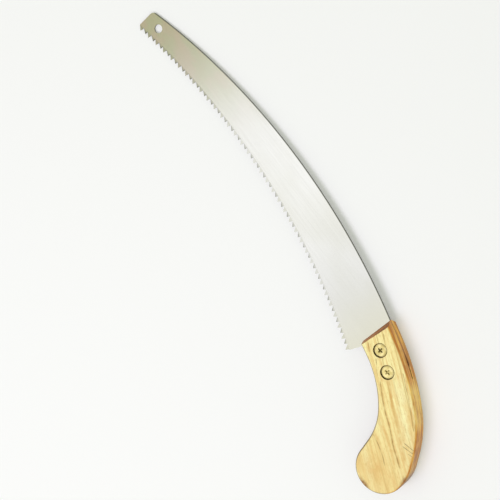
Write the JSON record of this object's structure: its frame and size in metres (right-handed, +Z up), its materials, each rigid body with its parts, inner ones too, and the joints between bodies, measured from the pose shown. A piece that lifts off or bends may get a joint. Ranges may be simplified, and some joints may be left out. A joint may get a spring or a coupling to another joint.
{
  "type": "fixed-blade pruning saw",
  "caption": "Pruning saw with a long curved, toothed steel blade that two screws and sleeve nuts clamp in the slot of a hooked wooden handle.",
  "frame": {"origin": "centre of the base of the saw's box as it lies on its side", "axes": "+X along the saw's length from the handle to the blade's tip, +Y towards the teeth, +Z up, square to the blade"},
  "size_m": [0.48, 0.0942, 0.02],
  "materials": {
    "blade_steel": "fine lengthways grain, satin",
    "lacquered_wood": "clear lacquer over pale wood with long grain",
    "plated_steel": "bright plated, slightly dulled"
  },
  "bodies": {
    "root": {"blade": "blade_steel", "handle": "lacquered_wood", "front_screw": "plated_steel", "rear_screw": "plated_steel", "front_sleeve_nut": "plated_steel", "rear_sleeve_nut": "plated_steel"}
  },
  "joints": []
}
